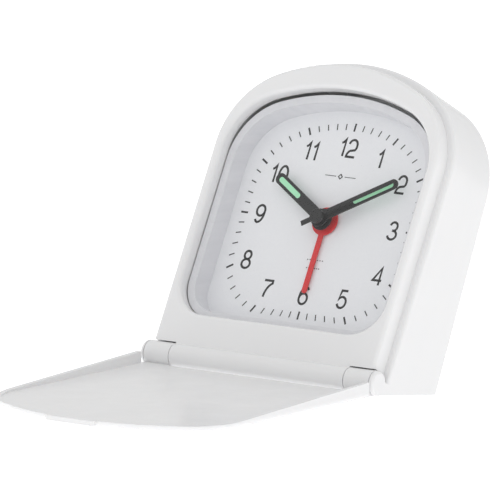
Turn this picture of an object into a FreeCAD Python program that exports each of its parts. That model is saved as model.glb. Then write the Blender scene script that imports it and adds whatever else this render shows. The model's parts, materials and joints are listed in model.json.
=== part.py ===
import FreeCAD, Part
import math
import os
import re
import Sketcher
from FreeCAD import Placement, Rotation, Vector

# Folding travel alarm clock. It is modelled upright: x to the right, y to the rear, z up along the
# face, with the origin on the front of the dial at the hand arbor. "Front" distances run from the
# dial towards the viewer. At the end every piece is leaned back onto its lid and rear edge.

sizes = {
    # case outline
    "case_width": 66.0, "case_top": 37.6, "case_corner": 21.8, "case_crown": 48.8,
    "case_drop": 46.0, "wall": 1.5,
    # case depths, measured from the dial
    "front_depth": 8.8, "step_front": 4.3, "step_width": 1.8, "front_wall": 3.25,
    "split_depth": 4.45, "rear_depth": 15.4, "rear_slope": 3.2, "rear_foot": 33.0, "base_angle": 20.0,
    "front_round": 0.95, "step_round": 0.7, "rear_round": 1.2, "cavity_drop": 33.8,
    # window, crystal and ring
    "window_half": 29.0, "window_top": 29.9, "window_drop": 28.0, "window_corner": 15.0,
    "window_crown": 55.0, "window_foot": 8.5, "window_round": 1.0,
    "crystal_front": 6.8, "crystal_thick": 1.2, "crystal_fit": 0.05, "crystal_seat": 0.05,
    "crystal_bevel": 0.5,
    "ring_half": 26.9, "ring_top": 27.2, "ring_drop": 26.3, "ring_wall": 1.9, "ring_foot": 7.0,
    "ring_corner": 14.0, "ring_crown": 52.0,
    "dial_half": 29.5, "dial_top": 31.0, "dial_drop": 29.5, "dial_thick": 0.5, "dial_foot": 8.0,
    "dial_corner": 15.5, "dial_crown": 56.0,
    # hinge and lid
    "hinge_drop": 38.3, "hinge_radius": 2.85, "hinge_proud": 0.15, "ear_width": 0.9, "ear_round": 0.75,
    "knuckle_length": 7.0, "hinge_gap": 0.2, "knuckle_gap": 0.3, "pin_radius": 0.9, "pin_fit": 0.05,
    "pin_length": 9.0, "pin_end": 0.35, "lid_gap": 0.5, "lid_plate": 1.0, "lid_top": 33.7,
    "lid_corner": 16.0, "lid_crown": 49.0, "rim_height": 3.6, "rim_tip": 1.3, "rim_level": 18.5,
    "rim_wall": 1.2, "lid_angle": 117.7, "lid_notch": 0.6, "lid_round": 1.2,
    "tab_width": 13.5, "tab_depth": 2.0, "tab_reach": 0.7, "tab_proud": 0.1,
    # case screws
    "post_radius": 1.9, "post_foot_x": 26.5, "post_foot_drop": 31.0, "post_head_x": 10.0,
    "post_head_height": 32.6, "screw_radius": 0.8, "screw_head": 1.5, "screw_head_deep": 1.2,
    "screw_length": 12.0, "screw_slot": 0.35,
    # battery and its door
    "cell_radius": 5.25, "cell_length": 43.7, "cell_height": -26.6, "cell_front": -6.9,
    "cell_button": 1.9, "cell_button_long": 0.8, "contact_thick": 0.4, "contact_bow": 1.2,
    "door_half": 22.0, "door_low": -32.6, "door_high": -20.8, "door_thick": 1.3, "door_fit": 0.15,
    "door_lip": 0.9,
    # movement
    "plate_back": 1.9, "plate_thick": 1.0, "cover_inside": 9.2, "cover_thick": 0.8,
    "move_left": 24.5, "move_right": 22.5, "move_low": 18.6, "move_high": 13.5,
    "wheel_thick": 0.6, "wheel_gap": 0.3, "gear_hub": 1.0,
    "motion_module": 0.3, "hour_module": 0.288, "alarm_module": 0.3, "third_module": 0.2,
    "seconds_module": 0.25, "rotor_module": 0.2,
    "second_shaft": 0.35, "minute_bore": 0.42, "minute_tube": 0.78, "hour_bore": 0.85,
    "hour_tube": 1.2, "alarm_bore": 1.27, "alarm_tube": 1.65, "plate_hole": 1.75, "dial_hole": 2.3,
    "stud_radius": 0.4, "stud_fit": 0.05,
    # hands
    "alarm_level": 0.45, "alarm_thick": 0.35, "alarm_disc": 3.4, "alarm_long": 17.6,
    "alarm_wide": 1.3,
    "hour_level": 1.9, "hour_long": 18.2, "hour_wide": 2.7, "hour_disc": 2.6, "hand_thick": 0.35,
    "minute_level": 3.0, "minute_long": 21.4, "minute_wide": 2.5, "minute_disc": 2.2,
    "second_level": 4.0, "second_long": 20.6, "second_tail": 4.4, "second_wide": 0.5,
    "second_cap": 1.75, "second_cap_front": 4.9, "lume_thick": 0.3, "lume_wide": 1.3,
    "lume_inset": 1.1, "hour_lume_long": 8.0, "minute_lume_long": 11.0,
    # controls on the back
    "knob_radius": 4.6, "knob_deep": 1.7, "knob_well": 5.2, "knob_grooves": 18, "knob_shaft": 0.9,
    "switch_x": -17.5, "switch_z": 1.0, "switch_wide": 4.0, "switch_tall": 5.0,
    "switch_travel": 3.0, "switch_well": 1.6,
    # buzzer
    "buzzer_radius": 8.0, "buzzer_thick": 2.2, "buzzer_height": 23.5, "grille_hole": 0.6,
    "grille_ring": 4.2, "buzzer_port": 1.2, "buzzer_boss": 2.6, "buzzer_boss_high": 0.6, "buzzer_seat": 1.2,
    # board, chip and crystal can
    "board_left": 22.5, "board_right": 11.0, "board_low": 16.5, "board_high": 3.6, "board_back": 3.6,
    "board_thick": 0.8, "chip_x": 16.8, "chip_drop": 8.0, "chip_radius": 2.2, "chip_high": 0.8,
    "can_x": 20.5, "can_low": 15.2, "can_high": 9.0, "can_wide": 1.6, "can_deep": 1.6,
    # coil and stator
    "coil_front": 5.0, "coil_drop": 13.6, "coil_start": 8.6, "coil_end": 18.4, "coil_core": 1.3,
    "coil_radius": 2.4, "coil_flange": 2.7, "coil_flange_thick": 0.8, "coil_bore": 0.6, "coil_fit": 0.05,
    "leg_left": 6.9, "leg_wide": 0.8, "leg_right": 20.6, "leg_right_wide": 1.3, "core_high": 0.4,
    "core_deep": 0.4, "leg_drop": 14.6, "bridge_low": 2.9, "bridge_high": 2.6, "rotor_room": 2.0,
    # alarm contact leaf
    "leaf_left": 16.5, "leaf_right": 10.5, "leaf_low": 9.5, "leaf_high": 11.0, "leaf_front": 2.2,
    "leaf_thick": 0.4,
}

doc = FreeCAD.newDocument("travel_alarm_clock")
sheet = doc.addObject("Spreadsheet::Sheet", "Sizes")
for row, (alias, amount) in enumerate(sizes.items(), start=1):
    sheet.set(f"A{row}", alias.replace("_", " "))
    sheet.set(f"B{row}", str(amount))
    sheet.setAlias(f"B{row}", alias)
doc.recompute()

# places worked out from the sizes
half = "(case_width / 2)"
ear_inside = f"({half} - ear_width)"
knuckle_outside = f"({ear_inside} - hinge_gap)"
knuckle_inside = f"({knuckle_outside} - knuckle_length)"
barrel_half = f"({knuckle_inside} - hinge_gap)"
hinge_front = "(front_depth + lid_gap + lid_plate - hinge_radius)"
lid_face = "(front_depth + lid_gap + lid_plate)"
crystal_back = "(crystal_front - crystal_thick)"
plate_front = "(-plate_back + plate_thick)"
pocket_radius = "(hinge_radius + knuckle_gap)"


def full(text):
    """The expression with every size named as a cell of the sheet."""
    return re.sub(r"[a-z_]+", lambda word: "Sizes." + word[0] if word[0] in sizes else word[0], str(text))


def value(text):
    return float(sheet.evalExpression(full(text)))


def base_line(y):
    """Height of the sloping underside at the depth y."""
    return (f"(-hinge_drop + ({y} + {hinge_front}) * tan(base_angle)"
            " - (hinge_radius - hinge_proud) / cos(base_angle))")


def rear_line(z):
    """Depth of the leaning rear face at the height z."""
    return f"(rear_depth - ({z} + rear_foot) * tan(rear_slope))"


# ---- sketches -----------------------------------------------------------------------------------

def place_point(sketch, geometry, position, x, z):
    """Hold a point at x, z from the sketch's origin."""
    for kind, amount in (("DistanceX", x), ("DistanceY", z)):
        number = sketch.addConstraint(Sketcher.Constraint(kind, -1, 1, geometry, position, value(amount)))
        sketch.setExpression(f"Constraints[{number}]", full(amount))


def hold_radius(sketch, geometry, radius):
    number = sketch.addConstraint(Sketcher.Constraint("Radius", geometry, value(radius)))
    sketch.setExpression(f"Constraints[{number}]", full(radius))


def circle(x, z, radius):
    def draw(sketch):
        centre = Vector(value(x), value(z), 0)
        number = sketch.addGeometry(Part.Circle(centre, Vector(0, 0, 1), value(radius)), False)
        place_point(sketch, number, 3, x, z)
        hold_radius(sketch, number, radius)
    return draw


def polygon(*corners):
    def draw(sketch):
        points = [Vector(value(x), value(z), 0) for x, z in corners]
        first = sketch.GeometryCount
        for here, there in zip(points, points[1:] + points[:1]):
            sketch.addGeometry(Part.LineSegment(here, there), False)
        for step, (x, z) in enumerate(corners):
            last = first + (step - 1) % len(corners)
            sketch.addConstraint(Sketcher.Constraint("Coincident", last, 2, first + step, 1))
            place_point(sketch, first + step, 1, x, z)
    return draw


def rectangle(left, right, low, high):
    return polygon((left, low), (right, low), (right, high), (left, high))


def bar(x, low, high, width):
    """An upright bar with round ends."""
    def draw(sketch):
        middle = value(x)
        reach = value(width) / 2
        bottom = value(low) + reach
        top = value(high) - reach
        up = Vector(0, 0, 1)
        first = sketch.GeometryCount
        sketch.addGeometry([
            Part.LineSegment(Vector(middle + reach, bottom, 0), Vector(middle + reach, top, 0)),
            Part.ArcOfCircle(Part.Circle(Vector(middle, top, 0), up, reach), 0, math.pi),
            Part.LineSegment(Vector(middle - reach, top, 0), Vector(middle - reach, bottom, 0)),
            Part.ArcOfCircle(Part.Circle(Vector(middle, bottom, 0), up, reach), math.pi, 2 * math.pi),
        ], False)
        for step in range(4):
            sketch.addConstraint(Sketcher.Constraint("Tangent", first + step, 2, first + (step + 1) % 4, 1))
        sketch.addConstraint(Sketcher.Constraint("Vertical", first))
        sketch.addConstraint(Sketcher.Constraint("Equal", first + 1, first + 3))
        place_point(sketch, first + 1, 3, x, f"{high} - ({width}) / 2")
        number = sketch.addConstraint(Sketcher.Constraint("DistanceY", -1, 1, first + 3, 3, bottom))
        sketch.setExpression(f"Constraints[{number}]", full(f"{low} + ({width}) / 2"))
        hold_radius(sketch, first + 1, f"({width}) / 2")
    return draw


def arch(reach, top, drop, corner, crown, foot=None):
    """A flat-footed outline whose top is one wide arc between two corner arcs."""
    def draw(sketch):
        right, high, low = value(reach), value(top), -value(drop)
        bend, sweep = value(corner), value(crown)
        across = right - bend
        lift = high - sweep + math.sqrt((sweep - bend) ** 2 - across ** 2)
        turn = math.atan2(lift - high + sweep, across)
        toe = value(foot) if foot else 0.0
        up = Vector(0, 0, 1)

        def arc(x, z, radius, start, end):
            return Part.ArcOfCircle(Part.Circle(Vector(x, z, 0), up, radius), start, end)

        pieces = [
            Part.LineSegment(Vector(toe - right, low, 0), Vector(right - toe, low, 0)),
            Part.LineSegment(Vector(right, low + toe, 0), Vector(right, lift, 0)),
            arc(across, lift, bend, 0, turn),
            arc(0, high - sweep, sweep, turn, math.pi - turn),
            arc(-across, lift, bend, math.pi - turn, math.pi),
            Part.LineSegment(Vector(-right, lift, 0), Vector(-right, low + toe, 0)),
        ]
        if foot:
            pieces.insert(1, arc(right - toe, low + toe, toe, -math.pi / 2, 0))
            pieces.append(arc(toe - right, low + toe, toe, math.pi, 1.5 * math.pi))
        sketch.addGeometry(pieces, False)
        count = len(pieces)
        side = 2 if foot else 1
        for step in range(count):
            sharp = not foot and step in (0, count - 1)
            kind = "Coincident" if sharp else "Tangent"
            sketch.addConstraint(Sketcher.Constraint(kind, step, 2, (step + 1) % count, 1))
        sketch.addConstraint(Sketcher.Constraint("Vertical", side))
        sketch.addConstraint(Sketcher.Constraint("Vertical", side + 4))
        sketch.addConstraint(Sketcher.Constraint("Symmetric", 0, 1, 0, 2, -2))
        sketch.addConstraint(Sketcher.Constraint("PointOnObject", side + 2, 3, -2))
        sketch.addConstraint(Sketcher.Constraint("Equal", side + 1, side + 3))
        for name, kind, geometry, position, amount in (
                ("half_width", "DistanceX", side, 2, reach),
                ("foot_height", "DistanceY", 0, 1, f"-({drop})"),
                ("crown_centre", "DistanceY", side + 2, 3, f"({top}) - ({crown})")):
            number = sketch.addConstraint(
                Sketcher.Constraint(kind, -1, 1, geometry, position, value(amount)))
            sketch.setExpression(f"Constraints[{number}]", full(amount))
        hold_radius(sketch, side + 1, corner)
        hold_radius(sketch, side + 2, crown)
        if foot:
            sketch.addConstraint(Sketcher.Constraint("Equal", 1, count - 1))
            hold_radius(sketch, 1, foot)
    return draw


def case_outline(inset):
    return arch(f"{half} - {inset}", f"case_top - {inset}", "case_drop", f"case_corner - {inset}",
                f"case_crown - {inset}")


def cavity_outline(inset):
    return arch(f"{half} - {inset}", f"case_top - {inset}", "cavity_drop", f"case_corner - {inset}",
                f"case_crown - {inset}")


def window_outline(grow):
    return arch(f"window_half + {grow}", f"window_top + {grow}", f"window_drop + {grow}",
                f"window_corner + {grow}", f"window_crown + {grow}", f"window_foot + {grow}")


def ring_outline(grow):
    return arch(f"ring_half + {grow}", f"ring_top + {grow}", f"ring_drop + {grow}",
                f"ring_corner + {grow}", f"ring_crown + {grow}", f"ring_foot + {grow}")


# ---- features -----------------------------------------------------------------------------------

def new_body(label):
    body = doc.addObject("PartDesign::Body", label)
    body.Label = label
    return body


def body_sketch(body, name, role, offset, draw):
    """A sketch on one of the body's own planes, moved along the plane's normal."""
    plane = next(item for item in body.Origin.OriginFeatures if item.Role == role)
    sketch = body.newObject("Sketcher::SketchObject", f"{body.Name}_{name}_sketch")
    sketch.AttachmentSupport = [(plane, "")]
    sketch.MapMode = "FlatFace"
    sketch.setExpression("AttachmentOffset.Base.z", full(offset))
    draw(sketch)
    if sketch.solve() != 0 or not sketch.FullyConstrained:
        raise RuntimeError(f"{sketch.Name} is not fully constrained")
    return sketch


def feature(body, kind, name, sketch, length, grows):
    before = body.Tip.Shape.Volume if body.Tip else 0.0
    item = body.newObject(f"PartDesign::{kind}", f"{body.Name}_{name}")
    item.Profile = sketch
    item.setExpression("Length", full(length))
    doc.recompute()
    after = item.Shape.Volume
    if (after > before) != grows or abs(after - before) < 1e-6:
        raise RuntimeError(f"{item.Name} left the volume at {after} from {before}")
    return item


def add(body, name, draw, low, high):
    """Solid between the front distances low and high."""
    sketch = body_sketch(body, name, "XZ_Plane", low, draw)
    return feature(body, "Pad", name, sketch, f"({high}) - ({low})", True)


def cut(body, name, draw, low, high):
    """Cut between the front distances low and high."""
    sketch = body_sketch(body, name, "XZ_Plane", high, draw)
    return feature(body, "Pocket", name, sketch, f"({high}) - ({low})", False)


def side_add(body, name, draw, left, right):
    """Solid of a profile in depth and height, between two places across the clock."""
    sketch = body_sketch(body, name, "YZ_Plane", left, draw)
    return feature(body, "Pad", name, sketch, f"({right}) - ({left})", True)


def side_cut(body, name, draw, left, right):
    sketch = body_sketch(body, name, "YZ_Plane", right, draw)
    return feature(body, "Pocket", name, sketch, f"({right}) - ({left})", False)


def round_edges(body, name, kind, size, wanted):
    """Fillet or chamfer the edges that a test picks from the body as it is."""
    base = body.Tip
    edges = [f"Edge{n}" for n, edge in enumerate(base.Shape.Edges, start=1) if wanted(edge)]
    if not edges:
        raise RuntimeError(f"no edges for {name}")
    item = body.newObject(f"PartDesign::{kind}", f"{body.Name}_{name}")
    item.Base = (base, edges)
    item.setExpression("Radius" if kind == "Fillet" else "Size", full(size))
    doc.recompute()
    return item


def in_plane(edge, front, floor=None):
    """Whether the whole edge lies at the front distance, above the floor height."""
    box = edge.BoundBox
    flat = abs(box.YMin + front) < 0.01 and abs(box.YMax + front) < 0.01
    return flat and (floor is None or box.ZMax > floor + 0.01)


def turned(label, steps, bore=None):
    """A body turned about the arbor's direction: (radius, low, high) for each step."""
    body = new_body(label)
    for number, (radius, low, high) in enumerate(steps, start=1):
        add(body, f"step{number}", circle("0", "0", radius), low, high)
    if bore:
        lows = [value(low) for _, low, _ in steps]
        highs = [value(high) for _, _, high in steps]
        span = (f"{min(lows) - 1}", f"{max(highs) + 1}")
        cut(body, "bore", circle("0", "0", bore), *span)
    return body


nodes = {}


def keep(name, item, x="0", z="0"):
    """Name the finished piece and stand it at its own place on the clock."""
    item.Label = name
    nodes[name] = (item, Vector(value(x), 0, value(z)))
    return item


# ---- case ---------------------------------------------------------------------------------------

def heel_profile():
    """The foot of the front, between the hinge and the sloping underside."""
    front = f"(-{hinge_front})"
    inner = "(-step_front + 1)"
    return polygon((front, "-hinge_drop"), (front, base_line(front)), (inner, base_line(inner)),
                   (inner, "-hinge_drop + 1"), (front, "-hinge_drop + 1"))


def below_base():
    front, rear = "(-front_depth - 6)", "(rear_depth + 6)"
    return polygon((front, base_line(front)), (front, "-case_drop - 9"), (rear, "-case_drop - 9"),
                   (rear, base_line(rear)))


def hinge_circle(radius):
    return circle(f"-{hinge_front}", "-hinge_drop", radius)


def screw_places():
    return [("-post_foot_x", "-post_foot_drop"), ("post_foot_x", "-post_foot_drop"),
            ("-post_head_x", "post_head_height"), ("post_head_x", "post_head_height")]


def front_housing():
    body = new_body("front_housing")
    add(body, "skirt", case_outline("0"), "-split_depth", "step_front")
    floor = -value("case_drop")
    step = value("step_front")
    round_edges(body, "step_round", "Fillet", "step_round", lambda edge: in_plane(edge, step, floor))
    side_cut(body, "underside", below_base(), f"-{half} - 1", f"{half} + 1")
    add(body, "plateau", arch(f"{half} - step_width", "case_top - step_width", "hinge_drop",
                              "case_corner - step_width", "case_crown - step_width"),
        "step_front - 1.5", "front_depth")
    foot = -value("hinge_drop")
    face = value("front_depth")
    round_edges(body, "front_round", "Fillet", "front_round", lambda edge: in_plane(edge, face, foot))
    side_add(body, "heel", heel_profile(), f"-{half}", half)
    cut(body, "skirt_cavity", cavity_outline("wall"), "-split_depth - 1", "step_front - wall")
    cut(body, "face_cavity", cavity_outline("(step_width + wall)"), "0", "front_depth - front_wall")
    cut(body, "window", window_outline("0"), "0", "front_depth + 1")
    round_edges(body, "window_round", "Fillet", "window_round",
                lambda edge: in_plane(edge, face) and window_edge(edge))
    for number, side in enumerate((-1, 1)):
        left, right = sorted((f"{side} * {barrel_half}", f"{side} * {ear_inside}"), key=value)
        side_cut(body, f"knuckle_room{number}", hinge_circle(pocket_radius), left, right)
        near, far = sorted((f"{side} * {ear_inside}", f"{side} * {half}"), key=value)
        side_add(body, f"ear{number}", hinge_circle("hinge_radius"), near, far)
    side = value(half)
    round_edges(body, "ear_round", "Fillet", "ear_round", lambda edge: ear_edge(edge, side))
    side_add(body, "barrel", hinge_circle("hinge_radius"), f"-{barrel_half}", barrel_half)
    reach = "pin_length + pin_end - ear_width - knuckle_length - 2 * hinge_gap"
    for number, side in enumerate((-1, 1)):
        ends = (f"{side} * ({barrel_half} - ({reach}) - 0.3)", f"{side} * ({half} - pin_end)")
        near, far = sorted(ends, key=value)
        side_cut(body, f"pin_hole{number}", hinge_circle("pin_radius + pin_fit"), near, far)
    for number, (x, z) in enumerate(screw_places()):
        add(body, f"post{number}", circle(x, z, "post_radius"), "-split_depth",
            "front_depth - front_wall + 0.5")
        cut(body, f"post_hole{number}", circle(x, z, "screw_radius + 0.05"), "-split_depth - 1", "4.2")
    return keep("front_housing", body)


def ear_edge(edge, side):
    """Whether the edge is the outer rim of an ear, in front of the case."""
    box = edge.BoundBox
    if box.XLength > 0.01 or abs(abs(box.XMin) - side) > 0.01:
        return False
    near = box.YMin < -value(f"{hinge_front} + hinge_radius") + 0.05
    return near and box.ZMax < -value("hinge_drop - hinge_radius") + 0.3


def window_edge(edge):
    """Whether the edge bounds the window rather than the outside of the face."""
    box = edge.BoundBox
    inside = value("window_half") + 0.1
    return max(abs(box.XMin), abs(box.XMax)) < inside and box.ZMax < value("window_top") + 0.1 \
        and box.ZMin > -value("window_drop") - 0.1


def beyond_rear(shift, low="(-case_drop - 9)", high="(case_top + 9)", far="rear_depth + 20"):
    """Everything behind the leaning rear face, moved forward by the shift."""
    return polygon((f"{rear_line(low)} - {shift}", low), (far, low), (far, high),
                   (f"{rear_line(high)} - {shift}", high))


def rear_housing():
    body = new_body("rear_housing")
    back = "(-rear_depth - 2)"
    add(body, "shell", case_outline("0"), back, "-split_depth")
    side_cut(body, "rear_face", beyond_rear("0"), f"-{half} - 1", f"{half} + 1")
    side_cut(body, "underside", below_base(), f"-{half} - 1", f"{half} + 1")
    round_edges(body, "rear_round", "Fillet", "rear_round", rear_edge)
    rear_cavity(body)
    for number, (x, z) in enumerate(screw_places()):
        seat = f"({rear_line(z)} - screw_head_deep - 2)"
        add(body, f"post{number}", circle(x, z, "post_radius + 0.6"), f"-{rear_line(z)} + wall / 2",
            "-split_depth")
        cut(body, f"post_hole{number}", circle(x, z, "screw_radius + 0.15"), back, "0")
        cut(body, f"head_well{number}", circle(x, z, "screw_head + 0.2"), back, f"-{seat}")
    rear_openings(body)
    return keep("rear_housing", body)


def rear_edge(edge):
    """Whether the edge lies on the rear face."""
    slope = math.tan(math.radians(value("rear_slope")))
    for vertex in edge.Vertexes:
        point = vertex.Point
        wanted = value("rear_depth") - (point.z + value("rear_foot")) * slope
        if abs(point.y - wanted) > 0.01:
            return False
    return True


def rear_cavity(body):
    """The hollow follows the rear face and the underside at one wall's thickness."""
    low, front = "(-cavity_drop + 4)", "(split_depth - 1)"
    top = "(case_top + 2)"
    rear = f"({rear_line('-cavity_drop')} - wall)"
    corner = f"({base_line(rear)} + wall * 1.3)"
    tool = new_body("rear_hollow")
    add(tool, "block", case_outline("wall"), f"-{rear} - 2", "-split_depth + 1")
    side_cut(tool, "rear_face", beyond_rear("wall"), f"-{half} - 1", f"{half} + 1")
    base = polygon((front, f"{base_line(front)} + wall * 1.3"), (front, "-case_drop - 9"),
                   (f"{rear} + 6", "-case_drop - 9"),
                   (f"{rear} + 6", f"{base_line('(' + rear + ' + 6)')} + wall * 1.3"))
    side_cut(tool, "underside", base, f"-{half} - 1", f"{half} + 1")
    join = body.newObject("PartDesign::Boolean", "rear_housing_hollow")
    join.Type = "Cut"
    join.setObjects([tool])
    doc.recompute()


def rear_openings(body):
    """Battery hatch, the wells of the two knobs and of the switch, and the sound holes."""
    back = "(-rear_depth - 2)"
    side_cut(body, "door_recess", beyond_rear("door_thick", "(-case_drop)", "door_high"), "-door_half",
             "door_half")
    cut(body, "hatch", rectangle("-door_half + door_lip", "door_half - door_lip",
                                 "door_low + 1.6", "door_high - door_lip"), back, "-split_depth")
    for name, (x, z) in knob_places().items():
        add(body, f"{name}_cup", circle(x, z, "knob_well + 0.8"), f"-{rear_line(z)} + wall / 2",
            f"-{rear_line(z)} + knob_deep + 1")
        cut(body, f"{name}_well", circle(x, z, "knob_well"), back, f"-{rear_line(z)} + knob_deep")
        cut(body, f"{name}_hole", circle(x, z, "knob_shaft + 0.15"), back, "-split_depth")
    cut(body, "switch_well", rectangle("switch_x - switch_wide / 2 - 0.2", "switch_x + switch_wide / 2 + 0.2",
                                       "switch_z - switch_tall / 2 - 0.2",
                                       "switch_z + switch_tall / 2 + switch_travel + 0.2"),
        back, f"-{rear_line('switch_z')} + switch_well - 0.5")
    cut(body, "switch_slot", rectangle("switch_x - 0.9", "switch_x + 0.9", "switch_z - 1.2",
                                       "switch_z + switch_travel + 1.2"), back, "-split_depth")
    for number in range(9):
        ring = "0" if number == 0 else "grille_ring"
        turn = 45 * number
        x = f"{ring} * cos({turn})"
        z = f"buzzer_height + {ring} * sin({turn})"
        cut(body, f"sound_hole{number}", circle(x, z, "grille_hole"), back, "-split_depth - 3")


def crystal():
    body = new_body("crystal")
    add(body, "pane", window_outline("-crystal_fit"), crystal_back, "crystal_front")
    face = value("crystal_front")
    round_edges(body, "bevel", "Chamfer", "crystal_bevel", lambda edge: in_plane(edge, face))
    return keep("crystal", body)


def dial_ring():
    body = new_body("dial_ring")
    add(body, "wall", ring_outline("ring_wall"), "0", f"{crystal_back} - crystal_seat")
    cut(body, "inside", ring_outline("0"), "-1", f"{crystal_back} + 1")
    return keep("dial_ring", body)


def dial_plate():
    body = new_body("dial_plate")
    add(body, "plate", arch("dial_half", "dial_top", "dial_drop", "dial_corner", "dial_crown",
                            "dial_foot"), "-dial_thick", "0")
    cut(body, "arbor_hole", circle("0", "0", "dial_hole"), "-dial_thick - 1", "1")
    return keep("dial_plate", body)


# ---- lid and hinge ------------------------------------------------------------------------------

def lid():
    """The lid as it lies over the face; the stand turns it open about the hinge."""
    body = new_body("lid")
    inner = "(front_depth + lid_gap)"
    root = f"(-hinge_drop + {pocket_radius})"
    add(body, "plate", arch(half, "lid_top", f"-{root}", "lid_corner", "lid_crown"), inner, lid_face)
    add(body, "rim", arch(half, "lid_top", f"-({root} + lid_notch)", "lid_corner", "lid_crown"),
        f"{lid_face} - rim_height", inner)
    face = value(lid_face)
    floor = value(root)
    round_edges(body, "face_round", "Fillet", "lid_round", lambda edge: in_plane(edge, face, floor))
    cut(body, "rim_inside", arch(f"{half} - rim_wall", "lid_top - rim_wall", f"-({root} - 1)",
                                 "lid_corner - rim_wall", "lid_crown - rim_wall"),
        f"{lid_face} - rim_height - 1", inner)
    lowest_rim = f"-({lid_face} - rim_height - 0.01)"
    highest_rim = f"-({lid_face} - rim_tip)"
    taper = polygon((lowest_rim, root), (highest_rim, "rim_level"), (highest_rim, "lid_top + 1"),
                    (f"{lowest_rim} + 1", "lid_top + 1"), (f"{lowest_rim} + 1", root))
    side_cut(body, "rim_taper", taper, f"-{half} - 1", f"{half} + 1")
    for number, side in enumerate((-1, 1)):
        left, right = sorted((f"{side} * {knuckle_inside}", f"{side} * {knuckle_outside}"), key=value)
        side_add(body, f"knuckle{number}", hinge_circle("hinge_radius"), left, right)
        add(body, f"root{number}", rectangle(left, right, "-hinge_drop", f"{root} + 0.5"), inner, lid_face)
        slope = polygon((f"{side} * {knuckle_outside}", f"{root} - 1"),
                        (f"{side} * {knuckle_outside}", f"{root} + 0.6"),
                        (f"{side} * ({half} + 1)", f"{root} + lid_notch"),
                        (f"{side} * ({half} + 1)", f"{root} - 1"))
        cut(body, f"ear_room{number}", slope, f"{lid_face} - rim_height - 1", f"{lid_face} + 1")
        side_cut(body, f"pin_hole{number}", hinge_circle("pin_radius + pin_fit"), f"{left} - 1",
                 f"{right} + 1")
    add(body, "tab", rectangle("-tab_width / 2", "tab_width / 2", "lid_top + tab_reach - tab_depth",
                               "lid_top + tab_reach"), f"{lid_face} - rim_tip - tab_proud",
        f"{lid_face} - 0.3")
    tip = value("lid_top + tab_reach")
    round_edges(body, "tab_round", "Fillet", "tab_reach - 0.1",
                lambda edge: edge.BoundBox.ZMin > tip - 0.01 and edge.BoundBox.XLength < 0.01)
    return keep("lid", body)


def hinge_pins():
    pins = []
    for side in (-1, 1):
        pin = doc.addObject("Part::Cylinder", "hinge_pin_left" if side < 0 else "hinge_pin_right")
        pin.setExpression("Radius", full("pin_radius"))
        pin.setExpression("Height", full("pin_length"))
        near = value(f"{half} - pin_end - pin_fit")
        left = -near if side < 0 else near - value("pin_length")
        origin = Vector(left, -value(hinge_front), -value("hinge_drop"))
        pin.Placement = Placement(origin, Rotation(Vector(0, 1, 0), 90))
        pins.append(pin)
    group = doc.addObject("Part::Compound", "hinge_pins")
    group.Links = pins
    return keep("hinge_pins", group)


def housing_screws():
    screws = []
    for number, (x, z) in enumerate(screw_places()):
        screw = new_body(f"housing_screw{number}")
        seat = f"({rear_line(z)} - screw_head_deep - 2)"
        add(screw, "shank", circle(x, z, "screw_radius"), f"-{seat}", f"-{seat} + screw_length")
        add(screw, "head", circle(x, z, "screw_head"), f"-{seat} - screw_head_deep", f"-{seat}")
        for way, (wide, tall) in enumerate((("screw_slot", "1.8"), ("1.8", "screw_slot"))):
            cross = rectangle(f"{x} - {wide} / 2", f"{x} + {wide} / 2", f"{z} - {tall} / 2",
                              f"{z} + {tall} / 2")
            cut(screw, f"slot{way}", cross, f"-{seat} - screw_head_deep - 1",
                f"-{seat} - screw_head_deep / 2")
        screws.append(screw)
    group = doc.addObject("Part::Compound", "housing_screws")
    group.Links = screws
    return keep("housing_screws", group)


# ---- battery ------------------------------------------------------------------------------------

def battery():
    body = new_body("battery")
    centre = circle("-cell_front", "cell_height", "cell_radius")
    side_add(body, "can", centre, "-cell_length / 2", "cell_length / 2")
    side_add(body, "button", circle("-cell_front", "cell_height", "cell_button"), "cell_length / 2",
             "cell_length / 2 + cell_button_long")
    return keep("battery", body)


def battery_contacts():
    tall = ("cell_height - cell_radius + 1.5", "cell_height + cell_radius - 1.5")
    plus = new_body("battery_contact_plus")
    start = "cell_length / 2 + cell_button_long + 0.05"
    side_add(plus, "leaf", rectangle("-cell_front - 3", "-cell_front + 3", *tall), start,
             f"{start} + contact_thick")
    keep("battery_contact_plus", plus)
    minus = new_body("battery_contact_minus")
    end = "-cell_length / 2 - 0.05"
    side_add(minus, "dimple", circle("-cell_front", "cell_height", "1.6"), f"{end} - contact_bow", end)
    side_add(minus, "leaf", rectangle("-cell_front - 3", "-cell_front + 3", *tall),
             f"{end} - contact_bow - contact_thick", f"{end} - contact_bow")
    keep("battery_contact_minus", minus)


def battery_door():
    body = new_body("battery_door")
    back = "(-rear_depth - 2)"
    side_add(body, "plate", beyond_rear("(door_thick - 0.03)", "(-case_drop)", "(door_high - door_fit)"),
             "-door_half + door_fit", "door_half - door_fit")
    side_cut(body, "rear_face", beyond_rear("0", far="rear_depth + 30"), f"-{half}", half)
    side_cut(body, "underside", below_base(), f"-{half}", half)
    for number in range(4):
        low = f"(door_high - 2.2 - {number} * 0.9)"
        cut(body, f"grip{number}", rectangle("-4", "4", low, f"{low} + 0.4"), back,
            f"-{rear_line(low)} + 0.35")
    foot = value("door_low")
    round_edges(body, "foot_round", "Fillet", "rear_round", lambda edge: rear_edge(edge)
                and edge.BoundBox.ZMax < foot and edge.BoundBox.XLength > 1)
    return keep("battery_door", body)


# ---- movement -----------------------------------------------------------------------------------

def polar(distance, degrees, x="0", z="0"):
    return f"({x} + {distance} * cos({degrees}))", f"({z} + {distance} * sin({degrees}))"


motion_place = polar("24 * motion_module", 45)
third_place = polar("34 * third_module", 250)
middle_place = polar("24 * seconds_module", 330)
rotor_place = polar("28 * rotor_module", 340, *middle_place)


def knob_places():
    return {"time": polar("24 * motion_module", 0, *motion_place),
            "alarm": polar("26 * alarm_module", 161)}


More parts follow.
